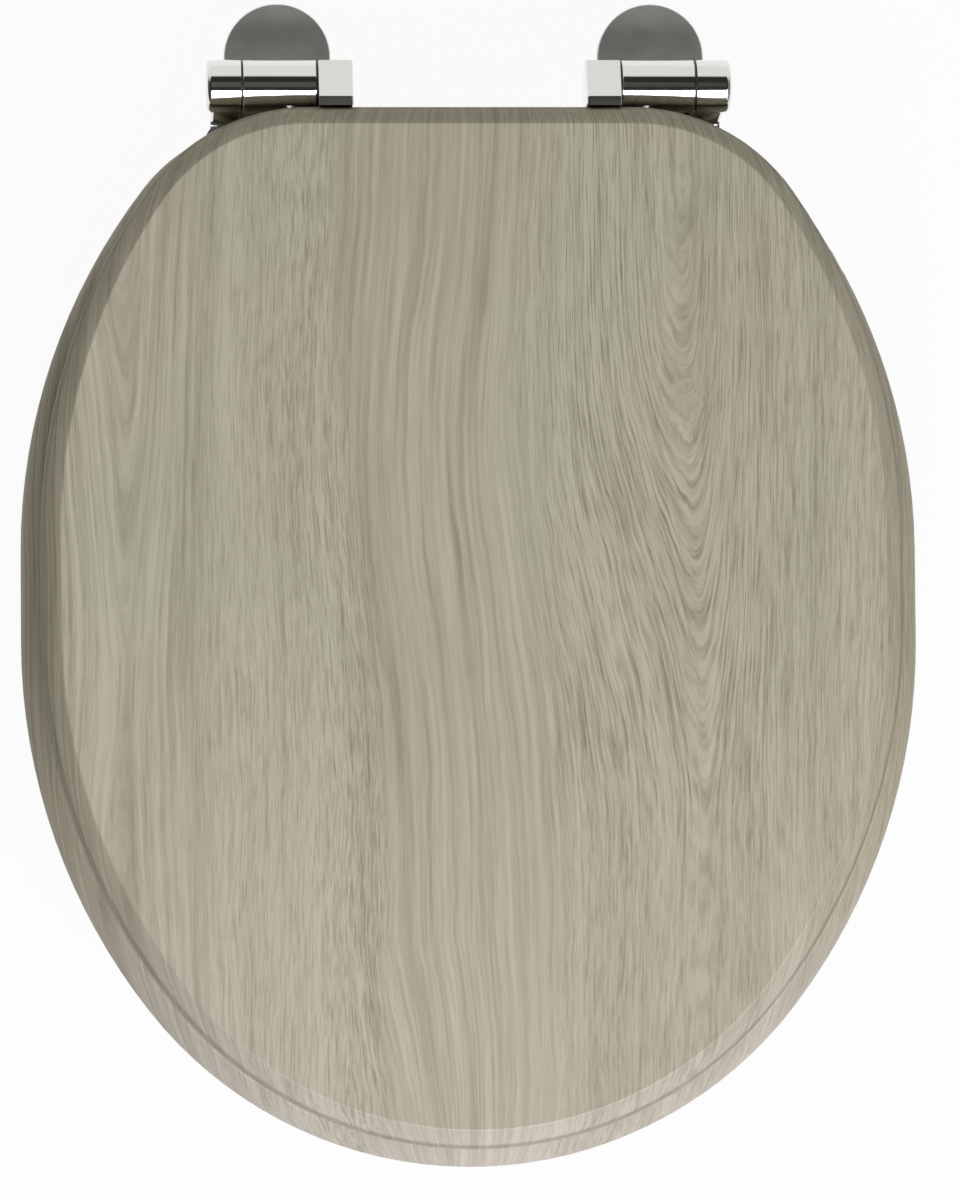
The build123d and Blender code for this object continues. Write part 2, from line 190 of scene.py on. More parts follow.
class Graph:
    """Node tree with short calls for the nodes that the finishes are made of."""

    def __init__(self, tree: bpy.types.NodeTree) -> None:
        """Take over the node tree of a material or a world, and empty it."""
        self.tree = tree
        tree.nodes.clear()

    def node(self, kind: str, *inputs: object, **settings: object) -> bpy.types.Node:
        """Add a node.

        Args:
            kind: Blender's name of the node type.
            *inputs: What its first inputs take, in their order.
            **settings: Properties of the node to set.

        Returns:
            The new node.
        """
        made = self.tree.nodes.new(kind)
        for name, value in settings.items():
            setattr(made, name, value)
        for target, source in zip(made.inputs, inputs):
            self.feed(target, source)
        return made

    def feed(self, target: Socket, source: object) -> None:
        """Link a socket to an input, or set the input's own value.

        Args:
            target: Input socket.
            source: Output socket, number, vector or colour.
        """
        if isinstance(source, Socket):
            self.tree.links.new(source, target)
        elif target.type == "RGBA":
            target.default_value = (*source, 1.0)
        else:
            target.default_value = source

    def filled(self, node: bpy.types.Node, **inputs: object) -> Socket:
        """Feed some inputs of a node, by their names with _ for a space.

        Args:
            node: Node to feed.
            **inputs: What they take.

        Returns:
            The node's first output.
        """
        for name, source in inputs.items():
            self.feed(node.inputs[name.replace("_", " ")], source)
        return node.outputs[0]

    def math(self, operation: str, *operands: Operand) -> Socket:
        """Add a math node for one of Blender's operations."""
        return self.node("ShaderNodeMath", *operands, operation=operation).outputs[0]

    def total(self, *operands: Operand) -> Operand:
        """Add several values up."""
        return reduce(partial(self.math, "ADD"), operands)

    def product(self, *operands: Operand) -> Operand:
        """Multiply several values."""
        return reduce(partial(self.math, "MULTIPLY"), operands)

    def less(self, first: Operand, second: Operand) -> Socket:
        """Take the second value from the first."""
        return self.math("SUBTRACT", first, second)

    def round_abs(self, value: Operand, blunt: float) -> Socket:
        """Distance from zero, with a turn that is rounded by the result at zero."""
        return self.math("SQRT", self.total(self.product(value, value), blunt * blunt))

    def bell(self, value: Operand, hump: Hump) -> Socket:
        """Height of a hump at a place."""
        away = self.math("DIVIDE", self.less(value, hump.centre), hump.width)
        return self.math("EXPONENT", self.product(away, away, -1.0))

    def mapped(self, value: Operand, span: Span, **settings: object) -> Socket:
        """Add a node that maps a place in a span to the level there."""
        ends = (span.start, span.end, span.before, span.after)
        return self.node("ShaderNodeMapRange", value, *ends, **settings).outputs[0]

    def rise(self, value: Operand, span: Span) -> Socket:
        """Smooth change over a span."""
        return self.mapped(value, span, interpolation_type="SMOOTHSTEP")

    def ramp(self, value: Operand, span: Span) -> Socket:
        """Straight change over a span, level outside it."""
        return self.mapped(value, span, clamp=True)

    def parts(self, vector: Socket) -> tuple[Socket, Socket, Socket]:
        """Split a vector into its three values."""
        return tuple(self.node("ShaderNodeSeparateXYZ", vector).outputs)

    def times(self, vector: Socket, factors: object) -> Socket:
        """Multiply a vector or a colour part by part."""
        return self.node("ShaderNodeVectorMath", vector, factors, operation="MULTIPLY").outputs[0]

    def scaled(self, vector: Socket, factor: float) -> Socket:
        """Multiply all of a vector by one factor."""
        return self.times(vector, (factor, factor, factor))

    def place(self) -> Socket:
        """Position on the piece in millimetres."""
        return self.scaled(self.node("ShaderNodeTexCoord").outputs["Object"], 1 / MILLIMETRE)

    def noise(self, vector: Socket, detail: float = 2.0) -> Socket:
        """Smooth noise from about -1 to 1, with humps one unit across and finer layers."""
        made = self.node("ShaderNodeTexNoise", normalize=False)
        return self.filled(made, Vector=vector, Scale=1.0, Detail=detail)

    def grain(self, across: Socket, forward: Socket, layer: Layer, turn: Operand = 0.0) -> Socket:
        """Noise drawn out along the grain.

        Args:
            across: Position across the grain.
            forward: Position along the grain.
            layer: Size and seed of the noise.
            turn: Third coordinate, to which the seed is added.

        Returns:
            The noise, up to about the layer's height to both sides of zero.
        """
        wide = self.product(across, 1 / layer.width)
        long = self.product(forward, 1 / layer.length)
        place = self.node("ShaderNodeCombineXYZ", wide, long, self.total(turn, layer.seed))
        return self.product(self.noise(place.outputs[0], layer.detail), layer.height)

    def blend(self, factor: Operand, first: object, second: object) -> Socket:
        """Mix two colours.

        Args:
            factor: Share of the second colour.
            first: Colour or socket.
            second: Colour or socket.

        Returns:
            The mixed colour.
        """
        made = self.node("ShaderNodeMix", data_type="RGBA")
        sockets = {socket.identifier: socket for socket in (*made.inputs, *made.outputs)}
        for name, source in (("Factor_Float", factor), ("A_Color", first), ("B_Color", second)):
            self.feed(sockets[name], source)
        return sockets["Result_Color"]

    def bump(self, height: Socket, depth: float) -> Socket:
        """Turn a height into a bumpy normal, one unit of it being a depth in metres."""
        made = self.node("ShaderNodeBump")
        return self.filled(made, Strength=BUMP_STRENGTH, Distance=depth, Height=height)

    def uneven(self, noise: Socket, level: float, unevenness: float) -> Socket:
        """Let a level vary to both sides with a noise."""
        levels = (level - unevenness, level + unevenness)
        return self.rise(noise, Span(-NOISE_REACH, NOISE_REACH, *levels))

    def surface(self, **inputs: object) -> None:
        """Finish a material with a principled surface, its inputs named as in filled."""
        shader = self.filled(self.node("ShaderNodeBsdfPrincipled"), **inputs)
        self.node("ShaderNodeOutputMaterial", shader)


def new_material(name: str) -> tuple[Material, Graph]:
    """Make an empty node material.

    Args:
        name: Name of the material.

    Returns:
        The material and its graph.
    """
    material = bpy.data.materials.new(name)
    material.use_nodes = True
    return material, Graph(material.node_tree)


@dataclass(frozen=True)
class OakFigure:
    """Drawn figure of a board: a funnel at the left, a cathedral at the right, a bend between them.

    Lengths are in millimetres, across to the right and forward from the fixings.
    """

    bend: float = 14.0
    bend_across: Hump = Hump(-12.0, 55.0)
    bend_forward: Hump = Hump(165.0, 85.0)
    sway: Layer = Layer(70.0, 190.0, 0.0, height=4.0)
    waver: Layer = Layer(14.0, 55.0, 7.0, 2.0, height=1.2)
    step: float = -5.0
    step_across: Hump = Hump(86.0, 34.0)
    step_forward: Span = Span(100.0, 215.0)
    left_fold: float = -141.0
    right_fold: float = 82.0
    blunt: float = 4.0
    slack: float = 12.3
    slack_reach: float = 15.0
    funnel_across: Hump = Hump(-146.0, 34.0)
    funnel_fall: float = -0.07
    funnel_lean: float = 0.04
    saddle: float = 245.0
    saddle_blunt: float = 25.0
    cathedral_left: Span = Span(-15.0, 82.0)
    cathedral_right: Span = Span(86.0, 126.0, 0.20, 0.02)
    cathedral_forward: Span = Span(50.0, 330.0, 210.0, 0.0)
    spread: float = -0.16
    spread_across: Hump = Hump(-24.0, 24.0)
    spread_start: float = 365.0
    knot: Layer = Layer(3.0, 4.0, 61.0, 2.0, height=1.3)
    knot_across: Hump = Hump(90.0, 13.0)
    knot_forward: Hump = Hump(150.0, 14.0)

    def lines(self, graph: Graph, across: Socket, forward: Socket) -> Socket:
        """Field whose equal values are the grain lines.

        Args:
            graph: Graph of the material.
            across: Distance to the right.
            forward: Distance forward.

        Returns:
            The field in millimetres.
        """
        return graph.total(
            self.folded(graph, self.bent(graph, across, forward)),
            self.funnel(graph, across, forward),
            graph.product(
                graph.rise(forward, self.cathedral_forward),
                graph.rise(across, self.cathedral_left),
                graph.rise(across, self.cathedral_right),
            ),
            graph.product(
                graph.math("MAXIMUM", graph.less(forward, self.spread_start), 0.0),
                graph.bell(across, self.spread_across),
                self.spread,
            ),
            graph.product(
                graph.bell(across, self.knot_across),
                graph.bell(forward, self.knot_forward),
                graph.grain(across, forward, self.knot),
            ),
        )

    def bent(self, graph: Graph, across: Socket, forward: Socket) -> Socket:
        """Distance to the right of a line that bends, sways and wavers.

        Args:
            graph: Graph of the material.
            across: Distance to the right.
            forward: Distance forward.

        Returns:
            The bent distance.
        """
        bend = graph.product(graph.bell(across, self.bend_across), self.bend)
        step = graph.product(graph.bell(across, self.step_across), self.step)
        return graph.total(
            across,
            graph.product(graph.bell(forward, self.bend_forward), bend),
            graph.product(graph.rise(forward, self.step_forward), step),
            graph.grain(across, forward, self.sway),
            graph.grain(across, forward, self.waver),
        )

    def folded(self, graph: Graph, bent: Socket) -> Socket:
        """Turn the lines back at the middles of the funnel and of the cathedral.

        Args:
            graph: Graph of the material.
            bent: Bent distance to the right.

        Returns:
            The folded distance.
        """
        from_left = graph.round_abs(graph.less(bent, self.left_fold), self.blunt)
        past_right = graph.total(from_left, self.left_fold - self.right_fold)
        beyond = graph.math("MAXIMUM", past_right, 0.0)
        taut = graph.math("EXPONENT", graph.product(beyond, -1 / self.slack_reach))
        slack = graph.product(graph.less(1.0, taut), self.slack)
        return graph.less(slack, graph.round_abs(past_right, self.blunt))

    def funnel(self, graph: Graph, across: Socket, forward: Socket) -> Socket:
        """Narrow the lines at the left to both sides of a saddle.

        Args:
            graph: Graph of the material.
            across: Distance to the right.
            forward: Distance forward.

        Returns:
            What to add to the lines.
        """
        past_saddle = graph.less(forward, self.saddle)
        lift = graph.total(
            graph.product(graph.round_abs(past_saddle, self.saddle_blunt), self.funnel_fall),
            graph.product(past_saddle, self.funnel_lean),
        )
        return graph.product(lift, graph.bell(across, self.funnel_across))


@dataclass(frozen=True)
class Grain:
    """What the marks of a board are drawn by: its lines, the way along them, and its zones."""

    graph: Graph
    lines: Socket
    forward: Socket
    turn: Socket
    zones: Mapping[Zone, Socket]

    def noise(self, layer: Layer) -> Socket:
        """Noise that follows the lines."""
        return self.graph.grain(self.lines, self.forward, layer, self.turn)

    def shown(self, depth: Depth) -> Operand:
        """Depth from zone to zone."""
        shares = [self.graph.product(self.zones[zone], more) for zone, more in depth.zones.items()]
        return self.graph.total(depth.everywhere, *shares)

    def drawn(self, marks: Marks) -> Socket:
        """Draw one kind of marks.

        Args:
            marks: Marks to draw.

        Returns:
            How dark they are.
        """
        noise = self.noise(marks.layer)
        if marks.cut is not None:
            noise = self.graph.ramp(noise, marks.cut)
        return self.graph.product(noise, self.shown(marks.fade), self.shown(marks.depth))


@dataclass(frozen=True)
class OakFinish:
    """Grey oak: marks that follow a drawn figure, tints over the board, an edge darkened from the top
    down with painted cool light towards the front, and painted shade at the foot of the edge.
    """

    name: str
    top: float
    half_width: float
    half_length: float
    middle: float
    drift: float
    # Painted shade: painted_gap_shade darkens the foot of the lid's edge to draw the shadow in the
    # gap over the seat ring.
    painted_gap_shade: Colour
    figure: OakFigure = OakFigure()
    plan_blunt: float = 0.05
    turn_length: float = 18.0

    pale: Colour = linear(188, 183, 165)
    dark: Colour = linear(122, 116, 95)
    rosy: Colour = (1.02, 0.996, 1.012)
    rosy_layer: Layer = Layer(75.0, 130.0, 41.0, 2.0)
    rosy_patch: Span = Span(-0.5, 0.6)
    # Paler and cooler towards the front.
    paler_front: Colour = (1.04, 1.03, 1.065)
    paler_front_forward: Span = Span(240.0, 400.0)
    # Darker on the edge below the top.
    darker_edge: Colour = (0.86, 0.85, 0.80)
    darker_edge_drop: Span = Span(0.1, 0.7)
    # Painted light: painted_front_light makes the edge less dark and cooler towards the front,
    # standing for cool light from the front.
    painted_front_light: Colour = (0.89, 0.885, 0.94)
    painted_front_light_forward: Span = Span(310.0, 430.0)
    painted_gap_shade_drop: Span = Span(6.2, 8.2)
    polish: Span = Span(0.0, 1.0, 0.46, 0.60)
    specular: float = 0.15
    relief: float = 0.12 * MILLIMETRE

    calm_line: Span = Span(110.0, 300.0, -57.0, -38.0)
    calm_ragged: Layer = Layer(9.0, 45.0, 3.0, 3.0, height=4.0)
    calm_start: Span = Span(-3.0, 3.0)
    calm_end: Span = Span(86.0, 60.0)
    calm_left: Span = Span(-98.0, -118.0, 0.0, 0.7)
    busy_left: Span = Span(-30.0, -60.0)
    strip_past_line: Hump = Hump(-11.0, 15.0)
    outer_across: Span = Span(-95.0, -125.0)
    heart_across: Hump = Hump(85.0, 11.0)
    heart_forward: Span = Span(190.0, 140.0)
    heart_quiet: float = -0.9
    right_start: Span = Span(22.0, 48.0)
    right_end: Span = Span(108.0, 132.0, 1.0, 0.30)
    right_forward: Span = Span(290.0, 350.0, 1.0, 0.28)
    front_forward: Span = Span(260.0, 360.0)
    front_right: Span = Span(0.0, 50.0)
    front_middle: Hump = Hump(-12.0, 32.0)

    shade: Depth = Depth(0.25, {Zone.STRIP: 0.06, Zone.LEFT_BUSY: -0.07})
    broad: Marks = Marks(Layer(9.0, 300.0, 0.0), Depth(0.16))
    streaks: Marks = Marks(
        layer=Layer(2.6, 170.0, 11.0, 2.0),
        depth=Depth(0.15, {Zone.CALM: 0.15, Zone.OUTER: 0.14, Zone.HEART: -0.10}),
        fade=Depth(1.0, {Zone.FRONT: -0.28, Zone.FRONT_RIGHT: -0.25}),
    )
    strokes: Marks = Marks(
        layer=Layer(0.95, 28.0, 23.0, 2.0),
        depth=Depth(0.11, {Zone.BUSY: 0.11, Zone.RIGHT: 0.22}),
        fade=Depth(1.0, {Zone.FRONT_RIGHT: -0.25}),
        cut=Span(-0.15, 0.55, -0.25, 0.75),
    )
    fibres: Marks = Marks(
        layer=Layer(0.55, 10.0, 31.0, 2.0),
        depth=Depth(0.07, {Zone.BUSY: 0.19, Zone.STRIP: 0.16}),
        cut=Span(-0.25, 0.5, -0.35, 0.65),
    )
    rib_depth: Depth = Depth(0.02, {Zone.RIGHT: 0.16, Zone.FRONT_MIDDLE: 0.13})
    rib_pitch: float = 2.35
    rib_wobble: Layer = Layer(5.0, 70.0, 53.0, height=1.2)
    rib_share: Span = Span(-0.3, 0.45)
    rib_share_layer: Layer = Layer(2.6, 26.0, 47.0)

    def material(self) -> Material:
        """Build the finish.

        Returns:
            The material.
        """
        material, graph = new_material(self.name)
        across, forward, drop = self.wrapped_plan(graph)
        grain = Grain(
            graph=graph,
            lines=self.figure.lines(graph, across, forward),
            forward=forward,
            turn=graph.product(across, 1 / self.turn_length),
            zones=self.zones(graph, across, forward),
        )
        marks = [grain.drawn(kind) for kind in (self.broad, self.streaks, self.strokes, self.fibres)]
        tone = graph.total(grain.shown(self.shade), self.ribs(grain), *marks)
        colour = graph.blend(graph.ramp(tone, UNIT), self.pale, self.dark)
        graph.surface(
            Base_Color=self.tinted(graph, colour, across, forward, drop),
            Roughness=graph.ramp(tone, self.polish),
            Specular_IOR_Level=self.specular,
            Normal=graph.bump(graph.product(tone, -1.0), self.relief),
        )
        return material

    def wrapped_plan(self, graph: Graph) -> tuple[Socket, Socket, Socket]:
        """Plan position, carried on down the edge so that the grain wraps over it.

        Args:
            graph: Graph of the material.

        Returns:
            Distance to the right, distance forward and depth below the top.
        """
        x, y, z = graph.parts(graph.place())
        drop = graph.less(self.top, z)
        out_x = graph.math("DIVIDE", x, self.half_width)
        out_y = graph.math("DIVIDE", graph.less(y, self.middle), self.half_length)
        reach = graph.round_abs(out_x, self.plan_blunt)
        square = graph.total(graph.product(reach, reach), graph.product(out_y, out_y))
        share = graph.math("DIVIDE", drop, graph.math("SQRT", square))
        across = graph.total(x, graph.product(out_x, share), self.drift)
        forward = graph.product(graph.total(y, graph.product(out_y, share)), -1.0)
        return across, forward, drop

    def zones(self, graph: Graph, across: Socket, forward: Socket) -> dict[Zone, Socket]:
        """Find the share of every zone.

        Args:
            graph: Graph of the material.
            across: Distance to the right.
            forward: Distance forward.

        Returns:
            The shares, from 0 to 1.
        """
        line = graph.less(
            graph.rise(forward, self.calm_line), graph.grain(across, forward, self.calm_ragged)
        )
        past_line = graph.less(across, line)
        middle = graph.product(
            graph.rise(past_line, self.calm_start), graph.rise(past_line, self.calm_end)
        )
        calm = graph.math("MAXIMUM", middle, graph.rise(across, self.calm_left))
        busy = graph.less(1.0, calm)
        heart = graph.product(
            graph.bell(across, self.heart_across), graph.rise(forward, self.heart_forward)
        )
        right = graph.product(
            graph.rise(across, self.right_start),
            graph.rise(across, self.right_end),
            graph.rise(forward, self.right_forward),
            graph.total(1.0, graph.product(heart, self.heart_quiet)),
        )
        front = graph.rise(forward, self.front_forward)
        return {
            Zone.CALM: calm,
            Zone.BUSY: busy,
            Zone.LEFT_BUSY: graph.product(busy, graph.rise(across, self.busy_left)),
            Zone.STRIP: graph.bell(past_line, self.strip_past_line),
            Zone.OUTER: graph.rise(across, self.outer_across),
            Zone.RIGHT: right,
            Zone.HEART: heart,
            Zone.FRONT: front,
            Zone.FRONT_RIGHT: graph.product(front, graph.rise(across, self.front_right)),
            Zone.FRONT_MIDDLE: graph.product(front, graph.bell(across, self.front_middle)),
        }

    def ribs(self, grain: Grain) -> Socket:
        """Draw thin dark lines at a nearly even pitch that come and go along the grain.

        Args:
            grain: What to draw them by.

        Returns:
            How dark they are.
        """
        graph = grain.graph
        place = graph.total(grain.lines, grain.noise(self.rib_wobble))
        phase = graph.product(place, 2 * pi / self.rib_pitch)
        share = graph.ramp(grain.noise(self.rib_share_layer), self.rib_share)
        return graph.product(graph.math("SINE", phase), share, grain.shown(self.rib_depth))

    def tinted(
        self, graph: Graph, colour: Socket, across: Socket, forward: Socket, drop: Socket
    ) -> Socket:
        """Tint a colour from place to place, darken it from the edge down, less and cooler towards
        the front where that is painted cool front light, and paint shade on the foot of the edge.

        Args:
            graph: Graph of the material.
            colour: Colour to tint.
            across: Distance to the right.
            forward: Distance forward.
            drop: Depth below the top.

        Returns:
            The tinted colour.
        """
        patch = graph.grain(across, forward, self.rosy_layer)
        # Edge darkening, with painted cool front light towards the front.
        darker_edge = graph.blend(graph.rise(forward, self.painted_front_light_forward), self.darker_edge, self.painted_front_light)
        for share, tint in (
            (graph.rise(patch, self.rosy_patch), self.rosy),
            (graph.rise(forward, self.paler_front_forward), self.paler_front),
            # Painted shade at the foot of the edge.
            (graph.rise(drop, self.painted_gap_shade_drop), self.painted_gap_shade),
            (graph.rise(drop, self.darker_edge_drop), darker_edge),
        ):
            colour = graph.times(colour, graph.blend(share, PLAIN, tint))
        return colour


@dataclass(frozen=True)
class MetalFinish:
    """Plated or plain metal with a faint uneven polish, its lengths in millimetres."""

    name: str
    colour: Colour
    roughness: float
    unevenness: float = 0.03
    grain: float = 4.0
    drawn_out: float = 6.0
    cloud: float = 9.0
    cloud_share: float = 0.6

    def material(self) -> Material:
        """Build the finish.

        Returns:
            The material.
        """
        material, graph = new_material(self.name)
        place = graph.place()
        thin = self.drawn_out / self.grain
        fine = graph.noise(graph.times(place, (1 / self.grain, thin, thin)))
        cloud = graph.noise(graph.scaled(place, 1 / self.cloud))
        polish = graph.total(
            graph.product(cloud, self.cloud_share), graph.product(fine, 1.0 - self.cloud_share)
        )
        graph.surface(
            Base_Color=self.colour,
            Metallic=1.0,
            Roughness=graph.uneven(polish, self.roughness, self.unevenness),
        )
        return material


@dataclass(frozen=True)
class SoftFinish:
    """Moulded plastic or rubber with a fine matt skin, its lengths in millimetres."""

    name: str
    colour: Colour
    roughness: float
    skin: float
    unevenness: float = 0.06
    cloud: float = 7.0
    cloud_span: Span = Span(-0.7, 0.7)
    cloud_shade: float = 0.86
    relief: float = 0.03 * MILLIMETRE

    def material(self) -> Material:
        """Build the finish.

        Returns:
            The material.
        """
        material, graph = new_material(self.name)
        place = graph.place()
        fine = graph.noise(graph.scaled(place, 1 / self.skin))
        cloud = graph.noise(graph.scaled(place, 1 / self.cloud))
        shade = tuple(self.cloud_shade * level for level in self.colour)
        graph.surface(
            Base_Color=graph.blend(graph.rise(cloud, self.cloud_span), self.colour, shade),
            Roughness=graph.uneven(fine, self.roughness, self.unevenness),
            Normal=graph.bump(fine, self.relief),
        )
        return material


def only(piece: Object) -> None:
    """Select one object alone and make it active.

    Args:
        piece: Object to select.
    """
    bpy.ops.object.select_all(action="DESELECT")
    piece.select_set(True)
    bpy.context.view_layer.objects.active = piece


def added(operator: Callable[..., object], **settings: object) -> Object:
    """Add an object with nothing else selected.

    Args:
        operator: Operator that adds it.
        **settings: What the operator takes.

    Returns:
        The new object, which is active.
    """
    bpy.ops.object.select_all(action="DESELECT")
    operator(**settings)
    return bpy.context.view_layer.objects.active


def twin(piece: Object) -> Object:
    """Copy an object with its mesh.

    Args:
        piece: Object to copy.

    Returns:
        The copy, which is active.
    """
    only(piece)
    bpy.ops.object.duplicate()
    return bpy.context.view_layer.objects.active


def joined_at(first: Object, second: Object, name: str, place: Vector) -> Object:
    """Join two objects, and leave the mesh at a place with the object at the origin.

    Args:
        first: Object to keep.
        second: Object to join to it.
        name: New name.
        place: Where the first object's own origin comes to lie.

    Returns:
        The joined object.
    """
    only(first)
    second.select_set(True)
    bpy.ops.object.join()
    first.name = name
    first.location = place
    bpy.ops.object.transform_apply(location=True, rotation=True, scale=True)
    return first


def dress(piece: Object, material: Material) -> None:
    """Give a piece one material all over."""
    piece.data.materials.clear()
    piece.data.materials.append(material)


def edit_mode() -> None:
    """Go into edit mode."""
    bpy.ops.object.mode_set(mode="EDIT")


def edit_all() -> None:
    """Go into edit mode with everything selected."""
    edit_mode()
    bpy.ops.mesh.select_all(action="SELECT")


def object_mode() -> None:
    """Leave edit mode."""
    bpy.ops.object.mode_set(mode="OBJECT")


def nothing_chosen(kind: str) -> None:
    """Select nothing of the active mesh, and get ready to select one kind of its parts in code.

    Args:
        kind: VERT, EDGE or FACE.
    """
    edit_mode()
    bpy.ops.mesh.select_mode(type=kind)
    bpy.ops.mesh.select_all(action="DESELECT")
    object_mode()


def choose(piece: Object, test: Callable[[Vector], bool]) -> None:
    """Go into edit mode with only those points of a piece selected that pass a test.

    Args:
        piece: Object that is active.
        test: Takes the place of a point and tells whether to select it.
    """
    nothing_chosen("VERT")
    for point in piece.data.vertices:
        point.select = test(point.co)
    edit_mode()


def resized(x: float, y: float, z: float) -> None:
    """Scale what is selected about the origin."""
    bpy.ops.transform.resize(value=(x, y, z), center_override=(0.0, 0.0, 0.0))


def drawn_up(rise: float, factor: float) -> None:
    """Extrude the selected face upwards and widen or narrow its new end about the upright axis.

    Args:
        rise: Height of the new length.
        factor: Size of its end as a share of its start.
    """
    bpy.ops.mesh.extrude_region_move(TRANSFORM_OT_translate={"value": (0.0, 0.0, rise)})
    resized(factor, factor, 1.0)


def closed(crease: float) -> None:
    """Merge and turn the active mesh outwards, leave edit mode and shade its round faces smooth.

    Args:
        crease: Angle up to which faces are shaded as one.
    """
    bpy.ops.mesh.select_all(action="SELECT")
    bpy.ops.mesh.remove_doubles(threshold=MERGE)
    bpy.ops.mesh.normals_make_consistent(inside=False)
    object_mode()
    bpy.ops.object.shade_smooth_by_angle(angle=crease)


def register(piece: Object, node: str, material: Material) -> None:
    """Dress a piece, let it stand for a solid and ride with it, and report it.

    Args:
        piece: Finished object.
        node: Solid that it stands for.
        material: Finish.
    """
    dress(piece, material)
    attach(piece, frame["nodes"][node]["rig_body"])
    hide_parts(node)
    log.info("%s stands for %s: %d faces", piece.name, node, len(piece.data.polygons))


@dataclass
class SmoothCopies:
    """Copies of solids whose form is right, with seams merged and round faces shaded smooth."""

    nodes: Sequence[str]
    slot: Slot
    material: Material
    ending: str
    crease: float = radians(20)
    seam: float = 0.002 * MILLIMETRE

    def build(self) -> None:
        """Make every copy."""
        for node in self.nodes:
            register(self.copy(node), node, self.material)

    def copy(self, node: str) -> Object:
        """Copy one solid and merge its loose triangles.

        Args:
            node: Name of the solid.

        Returns:
            The copy.
        """
        piece = twin(frame["nodes"][node])
        piece.name = f"{node}_{self.ending}"
        del piece["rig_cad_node"]
        edit_all()
        bpy.ops.mesh.customdata_custom_splitnormals_clear()
        bpy.ops.mesh.remove_doubles(threshold=self.seam)
        object_mode()
        bpy.ops.object.shade_smooth_by_angle(angle=self.crease)
        return piece


@dataclass
class LidLeaves(SmoothCopies):
    """Copies of the lid leaves, whose blocks get rounded edges at the free end and at the joint."""

    free_round: float = 1.1 * MILLIMETRE
    joint_round: float = 0.5 * MILLIMETRE
    round_steps: int = 5
    top_reach: float = 2.0 * MILLIMETRE
    bore_share: float = 0.75
    flat: float = radians(1)

    def copy(self, node: str) -> Object:
        """Copy one leaf and round its block.

        Args:
            node: Name of the leaf.

        Returns:
            The rounded copy.
        """
        piece = super().copy(node)
        edit_all()
        bpy.ops.mesh.dissolve_limited(angle_limit=self.flat)
        object_mode()
        self.ease(piece, node, 0, self.free_round)
        self.ease(piece, node, -1, self.joint_round)
        bpy.ops.object.shade_smooth_by_angle(angle=self.crease)
        return piece

    def ease(self, piece: Object, node: str, rank: int, radius: float) -> None:
        """Round the edges of one end of the block.

        Args:
            piece: Copy of the leaf.
            node: Name of the leaf.
            rank: Place of the end, counted from the middle of the seat.
            radius: Radius of the rounding.
        """
        mesh = piece.data
        end = self.ends(mesh)[rank]
        nothing_chosen("FACE")
        for face in mesh.polygons:
            face.select = self.is_end(face) and abs(face.center.x - end) < NEAR
        edit_mode()
        bpy.ops.mesh.region_to_loop()
        object_mode()
        loop = [edge for edge in mesh.edges if edge.select]
        outline = [edge.index for edge in loop if self.on_block(mesh, edge, node)]
        nothing_chosen("EDGE")
        for index in outline:
            mesh.edges[index].select = True
        edit_mode()
        bpy.ops.mesh.bevel(
            offset=radius, segments=self.round_steps, affect="EDGES", clamp_overlap=False
        )
        object_mode()

    def is_end(self, face: bpy.types.MeshPolygon) -> bool:
        """Tell a face that looks straight to one side."""
        return abs(face.normal.x) > cos(self.flat)

    def ends(self, mesh: Mesh) -> list[float]:
        """Find the block's two ends.

        Args:
            mesh: Mesh of the leaf.

        Returns:
            Their sideways places, from the middle of the seat outwards.
        """
        heights = [point.co.z for point in mesh.vertices]
        top = max(heights) - self.top_reach
        high = [face for face in mesh.polygons if max(heights[i] for i in face.vertices) > top]
        return sorted((face.center.x for face in high if self.is_end(face)), key=abs)

    def on_block(self, mesh: Mesh, edge: bpy.types.MeshEdge, node: str) -> bool:
        """Tell an outer edge of the block from the edges of the plate and of the bore.

        Args:
            mesh: Mesh of the leaf.
            edge: Edge to look at.
            node: Name of the leaf.

        Returns:
            Whether it is one.
        """
        low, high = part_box(node.replace("leaf", "bush"))
        axis = (low + high) / 2
        bore = self.bore_share * (high.z - low.z) / 2
        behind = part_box("lid")[1].y - NEAR
        ends = [mesh.vertices[index].co for index in edge.vertices]
        return all(end.y > behind and (end - axis).yz.length > bore for end in ends)


